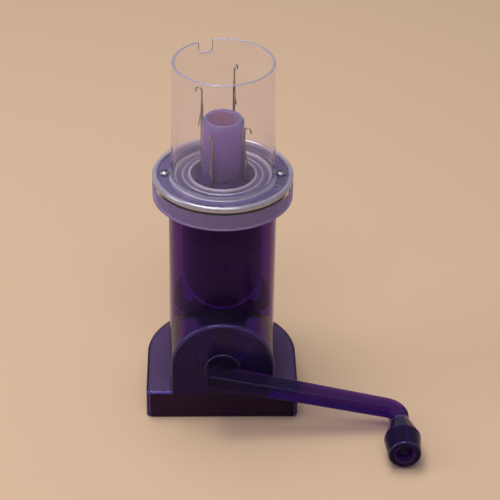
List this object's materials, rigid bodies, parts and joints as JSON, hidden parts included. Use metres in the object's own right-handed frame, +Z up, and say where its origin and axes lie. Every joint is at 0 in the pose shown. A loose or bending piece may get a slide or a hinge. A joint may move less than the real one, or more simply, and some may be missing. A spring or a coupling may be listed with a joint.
{
  "type": "hand crank cord knitting mill",
  "caption": "Free-standing hand-cranked cord knitting mill: moulded body on a foot, clear yarn cup, needle cylinder with latch needles, cam track and crown gear drive.",
  "frame": {"origin": "centre of the cord's exit hole at table level, on the axis of the needle cylinder", "axes": "+Z up along the needle cylinder, the crank and the gear housing face -Y, +X to the right as seen from the crank's side"},
  "size_m": [0.1398, 0.1204, 0.1862],
  "materials": {
    "purple_plastic": "glossy translucent injection moulding, very dark where two walls overlap",
    "violet_plastic": "satin translucent injection moulding",
    "clear_plastic": "clear moulding with a faint milky haze",
    "screw_steel": "bright zinc plate",
    "needle_steel": "polished spring steel"
  },
  "bodies": {
    "mill_body": {"housing": "purple_plastic", "cam_lower": "violet_plastic", "cam_upper": "violet_plastic", "base_plate": "purple_plastic", "base_screws": "screw_steel", "clear_cover": "clear_plastic", "cover_screws": "screw_steel"},
    "crank": {"crank_arm": "purple_plastic", "drive_pinion": "violet_plastic", "pinion_washer": "screw_steel", "pinion_screw": "screw_steel"},
    "grip": {"knob": "purple_plastic"},
    "cylinder": {"needle_cylinder": "violet_plastic", "crown_gear": "violet_plastic", "crown_gear_screws": "screw_steel"},
    "right_needle": {"needle_right": "needle_steel", "rivet_right": "needle_steel"},
    "right_latch": {"latch_right": "needle_steel"},
    "back_needle": {"needle_back": "needle_steel", "rivet_back": "needle_steel"},
    "back_latch": {"latch_back": "needle_steel"},
    "left_needle": {"needle_left": "needle_steel", "rivet_left": "needle_steel"},
    "left_latch": {"latch_left": "needle_steel"},
    "front_needle": {"needle_front": "needle_steel", "rivet_front": "needle_steel"},
    "front_latch": {"latch_front": "needle_steel"}
  },
  "joints": [
    {"name": "crank_turn", "type": "hinge", "parent": "mill_body", "child": "crank", "pos_m": [0, -0.03, 0.0318], "axis": [0, -1, 0], "continuous": true},
    {"name": "knob_spin", "type": "hinge", "parent": "crank", "child": "grip", "pos_m": [0.09095, -0.075, 0.0097], "axis": [0, -1, 0], "continuous": true},
    {"name": "cylinder_turn", "type": "hinge", "parent": "mill_body", "child": "cylinder", "pos_m": [0, 0, 0.05], "axis": [0, 0, 1], "continuous": true},
    {"name": "needle_right_slide", "type": "slide", "parent": "cylinder", "child": "right_needle", "axis": [0, 0, 1], "range_m": [-0.0014, 0.0256]},
    {"name": "latch_right_swing", "type": "hinge", "parent": "right_needle", "child": "right_latch", "pos_m": [0.01064, -0.00554, 0.1416], "axis": [-0.4617, -0.887, 0], "range_deg": [0, 142]},
    {"name": "needle_back_slide", "type": "slide", "parent": "cylinder", "child": "back_needle", "axis": [0, 0, 1], "range_m": [-0.0264, 0.0006]},
    {"name": "latch_back_swing", "type": "hinge", "parent": "back_needle", "child": "back_latch", "pos_m": [0.00554, 0.01064, 0.1666], "axis": [0.887, -0.4617, 0], "range_deg": [0, 142]},
    {"name": "needle_left_slide", "type": "slide", "parent": "cylinder", "child": "left_needle", "axis": [0, 0, 1], "range_m": [-0.0173, 0.0097]},
    {"name": "latch_left_swing", "type": "hinge", "parent": "left_needle", "child": "left_latch", "pos_m": [-0.01064, 0.00554, 0.1575], "axis": [0.4617, 0.887, 0], "range_deg": [0, 142]},
    {"name": "needle_front_slide", "type": "slide", "parent": "cylinder", "child": "front_needle", "axis": [0, 0, 1], "range_m": [0, 0.027]},
    {"name": "latch_front_swing", "type": "hinge", "parent": "front_needle", "child": "front_latch", "pos_m": [-0.00554, -0.01064, 0.1402], "axis": [-0.887, 0.4617, 0], "range_deg": [0, 142]}
  ],
  "couplings": [
    {"joint": "cylinder_turn", "follows": "crank_turn", "ratio": -0.83333}
  ]
}
